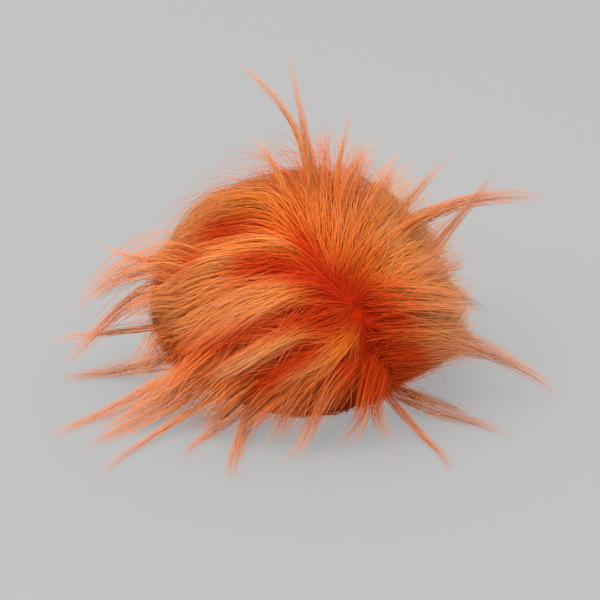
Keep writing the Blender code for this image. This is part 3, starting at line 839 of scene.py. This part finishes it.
def make_long_lock(corners, base, tip, chance):
    """Make the hairs of one long lock, which splits into strands and frays to its tip."""
    corners = np.array(corners, float)
    count = round((base + tip) * 0.5 * HAIRS_PER_MM)
    share = np.linspace(0.0, 1.0, LONG_RINGS)[None, :]
    widths = (base * ROOTS_WIDER, base, (1.0 - NARROWED) * base + NARROWED * tip, tip)
    spread = np.array(widths) / WIDTH_SPREADS
    strand = chance.integers(0, STRANDS, count)
    apart = unit(chance.normal(size=(STRANDS, 1, 3))) * STRANDS_APART[:, None]
    reach = chance.uniform(*LONG_REACH, STRANDS)[strand]
    reach = reach * (1.0 - LONG_SHORTER * chance.uniform(size=count) ** 2)
    places = (corners + apart[strand] * tip
              + chance.normal(size=(count, 1, 3)) * spread[:, None])
    points = bend_weights(corners, reach[:, None] * share) @ places
    fray = unit(chance.normal(size=(count, 1, 3))) * chance.uniform(size=(count, 1, 1)) ** 2
    points = points + fray * FRAY * (share[..., None] * reach[:, None, None]) ** 2
    points = waver(points, chance, np.full((count, 1), LONG_WAVER))
    points[..., 2] = np.maximum(points[..., 2], chance.uniform(*LONG_LEVELS, (count, 1)))
    tone = LONG_TONE + chance.normal(0.0, LONG_LOCK_VARY)
    tone = tone + chance.normal(0.0, LONG_HAIR_VARY, (count, 1))
    # Painted shade near the parting's hollow: this mask makes the lock deeper there.
    bare = near_parting(points, LONG_SHADED_REACHES)[..., 0]
    # Painted shade low down, where the lock lies on the coat: this share and the next line make it
    # deeper.
    on_coat = fade(above_ball(points)[..., 0], ON_COAT, ON_COAT_FULL)
    tone = tone - LONG_PARTING_PAINTED_SHADE * bare - LONG_LOW_PAINTED_SHADE * on_coat * low_shade_share(points)
    width = LONG_WIDTH * chance.uniform(*LONG_WIDTH_VARY, count)
    return Hairs(points, width, np.clip(tone, 0.0, 1.0))


def make_long_locks(chance):
    """Make the hairs of all the long locks."""
    sets = [make_long_lock(corners, base, tip, chance) for _, corners, base, tip in LONG_LOCKS]
    return Hairs(np.concatenate([each.points for each in sets]),
                 np.concatenate([each.width for each in sets]),
                 np.concatenate([each.tone for each in sets]), LONG_BEGIN)


def make_loose_hairs(chance):
    """Make single fine hairs that come out of the foot of the pile and lie on the floor."""
    column = (LOOSE_HAIRS, 1)
    share = np.linspace(0.0, 1.0, LONG_RINGS)[None, :]
    angle = np.radians(chance.uniform(*LOOSE_ANGLES, LOOSE_HAIRS))
    way = np.stack((np.cos(angle), np.sin(angle), np.zeros(LOOSE_HAIRS)), -1)
    side = np.cross(UP, way) * chance.normal(0.0, LOOSE_ASTRAY, column)
    out = chance.uniform(*LOOSE_OUT, column) * (LOOSE_REACH - LOOSE_FOOT)
    start = way * LOOSE_START + UP * chance.uniform(*LOOSE_START_LEVELS, column)
    foot = way * LOOSE_FOOT + UP * LOOSE_FOOT_LEVEL
    half_way = way * (LOOSE_FOOT + 0.5 * out) + side * LOOSE_BEND + UP
    tip = way * (LOOSE_FOOT + out) + side + UP
    evenly = np.arange(4.0)[:, None]
    points = bend_weights(evenly, share) @ np.stack((start, foot, half_way, tip), axis=1)
    points = waver(points, chance, np.full(column, LOOSE_WAVER))
    points[..., 2] = np.maximum(points[..., 2], chance.uniform(*LOOSE_LEVELS, column))
    return Hairs(points, LOOSE_WIDTH * chance.uniform(*LOOSE_WIDTH_VARY, LOOSE_HAIRS),
                 np.full((LOOSE_HAIRS, LONG_RINGS), LOOSE_TONE), LONG_BEGIN)


def hair_radii(width, rings):
    """Return the radius of each ring of some hairs, by their widths."""
    share = np.linspace(0.0, 1.0, rings)
    to_tip = ((share - FULLEST) / (1.0 - FULLEST)) ** TIP_POWER
    swell = np.where(share < FULLEST,
                     ROOT_TAPER + (1.0 - ROOT_TAPER) * smooth_step(share / FULLEST),
                     1.0 - (1.0 - TIP_TAPER) * to_tip)
    return width[:, None] * 0.5 * swell[None, :]


def ring_corners(hairs):
    """Return the three corners of each ring but the last, so that a flat side faces out."""
    points = hairs.points
    leg = np.diff(points, axis=1)
    run = unit(np.concatenate((leg[:, :1], points[:, 2:] - points[:, :-2], leg[:, -1:]), axis=1))
    sides = [unit(np.cross(run[:, 0], ball_normal(points[:, 0])))]
    for ring in range(1, points.shape[1]):
        sides.append(unit(sides[-1] - run[:, ring] * dot(sides[-1], run[:, ring])))
    side = np.stack(sides, axis=1)
    over = np.cross(side, run)
    radius = hair_radii(hairs.width, points.shape[1])
    corners = []
    for third in range(3):
        angle = math.tau * third / 3.0 - math.pi / 2.0
        out = side * math.cos(angle) + over * math.sin(angle)
        corners.append(points + out * radius[..., None])
    return np.stack(corners, axis=2)[:, :-1]


def soft_normals(hairs, corners):
    """Return the corners' and tips' shading directions, between the hair's and the coat's."""
    clear = smooth_step(above_ball(hairs.points) / CLEAR_OF_COAT)
    coat = unit(ball_normal(hairs.points) + UP * (COAT_UP + CLEAR_UP * clear))
    out = unit(corners - hairs.points[:, :-1, None])
    sides = unit(out * (1.0 - SOFTNESS) + coat[:, :-1, None] * SOFTNESS)
    return np.concatenate((sides.reshape(len(coat), -1, 3), coat[:, -1:]), axis=1)


def hair_faces(count, rings):
    """Return the triangles of all hairs, as corner numbers of (ring, third) and the tip."""
    stride = (rings - 1) * 3 + 1
    tip = stride - 1
    faces = [(0, 1, 2)]
    for ring in range(rings - 2):
        for third in range(3):
            a = ring * 3 + third
            b = ring * 3 + (third + 1) % 3
            faces.append((a, b + 3, b))
            faces.append((a, a + 3, b + 3))
    last = (rings - 2) * 3
    for third in range(3):
        faces.append((last + (third + 1) % 3, last + third, tip))
    return (np.arange(count)[:, None, None] * stride + np.array(faces)[None]).reshape(-1, 3)


def texture_places(tone, along, thirds):
    """Return texture coordinates: the column of each tone, and the length of the hair up it."""
    column = np.floor(tone * (TONE_COLUMNS - 1))
    across = (column + COLUMN_START + COLUMN_STEP * thirds) / TONE_COLUMNS
    up = COLUMN_FOOT + (1.0 - 2.0 * COLUMN_FOOT) * along
    return np.stack((across, up), -1)


def make_hair_object(name, hairs, material):
    """Make one mesh object of many hairs, with their attributes and texture coordinates."""
    count, rings, _ = hairs.points.shape
    corners = ring_corners(hairs)
    verts = np.concatenate((corners.reshape(count, -1, 3), hairs.points[:, -1:]), axis=1)
    faces = hair_faces(count, rings)
    along = np.append(np.repeat(np.linspace(hairs.begin, 1.0, rings)[:-1], 3), 1.0)
    along = np.tile(along, count)
    thirds = np.tile(np.append(np.tile((0.0, 1.0, 2.0), rings - 1), 1.0), count)
    tone = np.concatenate((np.repeat(hairs.tone[:, :-1], 3, axis=1), hairs.tone[:, -1:]), axis=1)
    tone = tone.ravel()

    mesh = bpy.data.meshes.new(name)
    mesh.vertices.add(verts.shape[0] * verts.shape[1])
    mesh.vertices.foreach_set("co", (verts * MM).ravel())
    mesh.loops.add(len(faces) * 3)
    mesh.loops.foreach_set("vertex_index", faces.ravel())
    mesh.polygons.add(len(faces))
    mesh.polygons.foreach_set("loop_start", np.arange(len(faces)) * 3)
    mesh.update(calc_edges=True)
    mesh.shade_smooth()
    mesh.normals_split_custom_set_from_vertices(soft_normals(hairs, corners).reshape(-1, 3))
    add_values(mesh, "hair_along", along)
    # The tone carries painted light and shade as well as each hair's own colour.
    add_values(mesh, "hair_tone_and_shade", tone)
    layer = mesh.uv_layers.new(name="OFBake")
    layer.uv.foreach_set("vector", texture_places(tone, along, thirds)[faces.ravel()].ravel())
    return add_piece(name, mesh, material)


def add_values(mesh, name, values):
    """Give a mesh one number for each vertex."""
    attribute = mesh.attributes.new(name, "FLOAT", "POINT")
    attribute.data.foreach_set("value", values)


def add_piece(name, mesh, material):
    """Add a piece that rides on the body and stands for the CAD solid."""
    piece = bpy.data.objects.new(name, mesh)
    bpy.context.scene.collection.objects.link(piece)
    mesh.materials.append(material)
    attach(piece, BODY)
    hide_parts(NODE)
    return piece


def make_undercoat(material):
    """Make the felted surface below the hairs."""
    shaped = bmesh.new()
    bmesh.ops.create_icosphere(shaped, subdivisions=UNDERCOAT_FINENESS, radius=1.0)
    ways = np.array([vert.co for vert in shaped.verts])
    points = ball_point(unit(ways)) * UNDERCOAT_SCALE + UP * WIDEST_LEVEL * (1.0 - UNDERCOAT_SCALE)
    for vert, point in zip(shaped.verts, points):
        vert.co = Vector(point) * MM
        vert.co.z = max(vert.co.z, 0.0)
    mesh = bpy.data.meshes.new("undercoat")
    shaped.to_mesh(mesh)
    shaped.free()
    mesh.shade_smooth()
    return add_piece("undercoat", mesh, material)


def grey(value):
    """Return a grey as a colour."""
    return (value, value, value, 1.0)


def add_node(tree, kind, **inputs):
    """Add a node and set its inputs by name."""
    node = tree.nodes.new(kind)
    for name, value in inputs.items():
        node.inputs[name].default_value = value
    return node


def colour_ramp(tree, factor, stops):
    """Add a colour ramp with stops of (place, colour) and return its colour socket."""
    node = tree.nodes.new("ShaderNodeValToRGB")
    node.color_ramp.interpolation = "LINEAR"
    points = node.color_ramp.elements
    while len(points) < len(stops):
        points.new(0.5)
    for point, (place, colour) in zip(points, stops):
        point.position = place
        point.color = (*colour, 1.0)
    tree.links.new(factor, node.inputs[0])
    return node.outputs["Color"]


def attribute(tree, name):
    """Add an attribute node and return its number socket."""
    node = tree.nodes.new("ShaderNodeAttribute")
    node.attribute_name = name
    return node.outputs["Fac"]


def new_material(name, roughness=1.0, gloss=0.0):
    """Return a new material, its node tree and its shader."""
    material = bpy.data.materials.new(name)
    material.use_nodes = True
    shader = material.node_tree.nodes["Principled BSDF"]
    shader.inputs["Roughness"].default_value = roughness
    shader.inputs["Specular IOR Level"].default_value = gloss
    return material, material.node_tree, shader


def make_fur_material():
    """Return the fur: deep orange at the roots, paler to the tips, each hair a little unlike.

    Its tone also carries painted light on ridges and painted shade in hollows, at the parting and
    low down.
    """
    material, tree, shader = new_material("fur", FUR_ROUGHNESS, FUR_GLOSS)
    along = attribute(tree, "hair_along")
    deep = colour_ramp(tree, along, DEEP_STOPS)
    pale = colour_ramp(tree, along, PALE_STOPS)
    # The tone attribute, with its painted light and shade, mixes the deep and pale colours.
    mix = tree.nodes.new("ShaderNodeMix")
    mix.data_type = "RGBA"
    for source, socket in zip((attribute(tree, "hair_tone_and_shade"), deep, pale), MIX_INPUTS):
        tree.links.new(source, mix.inputs[socket])
    tree.links.new(mix.outputs[MIX_OUTPUT], shader.inputs["Base Color"])
    return material


def make_undercoat_material():
    """Return the matted, deep orange undercoat."""
    material, tree, shader = new_material("undercoat")
    place = tree.nodes.new("ShaderNodeTexCoord").outputs["Object"]
    noise = add_node(tree, "ShaderNodeTexNoise", Scale=420.0, Detail=4.0)
    tree.links.new(place, noise.inputs["Vector"])
    colour = colour_ramp(tree, noise.outputs["Fac"], UNDERCOAT_STOPS)
    tree.links.new(colour, shader.inputs["Base Color"])
    bump = add_node(tree, "ShaderNodeBump", Strength=0.6, Distance=0.0006)
    tree.links.new(noise.outputs["Fac"], bump.inputs["Height"])
    tree.links.new(bump.outputs["Normal"], shader.inputs["Normal"])
    return material


def make_floor():
    """Make the plain pale floor, which glows as a light table does and so keeps shadows faint."""
    bpy.ops.mesh.primitive_plane_add(size=FLOOR_SIZE, location=(0.0, 0.0, 0.0))
    floor = bpy.context.object
    floor.name = "floor"
    material, _, shader = new_material("floor")
    shader.inputs["Base Color"].default_value = grey(FLOOR_GREY)
    shader.inputs["Emission Color"].default_value = grey(1.0)
    shader.inputs["Emission Strength"].default_value = FLOOR_GLOW
    floor.data.materials.append(material)


def make_light():
    """Make the soft studio light: a wide, high panel in front and pale surroundings."""
    light = bpy.data.lights.new("panel", "AREA")
    light.size = PANEL_SIZE
    light.energy = PANEL_POWER
    panel = bpy.data.objects.new("panel", light)
    panel.location = PANEL_PLACE
    panel.rotation_euler = (-Vector(PANEL_PLACE)).to_track_quat("-Z", "Y").to_euler()
    bpy.context.scene.collection.objects.link(panel)
    world = bpy.data.worlds.new("studio")
    world.use_nodes = True
    surroundings = world.node_tree.nodes["Background"]
    surroundings.inputs["Color"].default_value = grey(STUDIO_GREY)
    surroundings.inputs["Strength"].default_value = STUDIO_STRENGTH
    bpy.context.scene.world = world
    bpy.context.scene.view_settings.view_transform = "Standard"


def make_camera():
    """Make the camera at the photograph's angle."""
    camera = bpy.data.objects.new("camera", bpy.data.cameras.new("camera"))
    camera.data.lens = LENS
    camera.location = CAMERA_PLACE * MM
    camera.rotation_euler = (CAMERA_TARGET - CAMERA_PLACE).to_track_quat("-Z", "Y").to_euler()
    bpy.context.scene.collection.objects.link(camera)
    bpy.context.scene.camera = camera


def main():
    """Make the pom pom's pieces and the scene round it."""
    chance = np.random.default_rng(SEED)
    fur = make_fur_material()
    make_undercoat(make_undercoat_material())
    pile = make_pile(chance)
    root = pile.points[:, 0]
    order = np.argsort(np.arctan2(root[:, 1], root[:, 0]))
    for number, which in enumerate(np.array_split(order, PILE_PIECES), 1):
        make_hair_object(f"pile_{number}", pile.part(which), fur)
    make_hair_object("long_locks", make_long_locks(chance), fur)
    make_hair_object("loose_hairs", make_loose_hairs(chance), fur)
    make_floor()
    make_light()
    make_camera()


main()
bpy.context.view_layer.update()
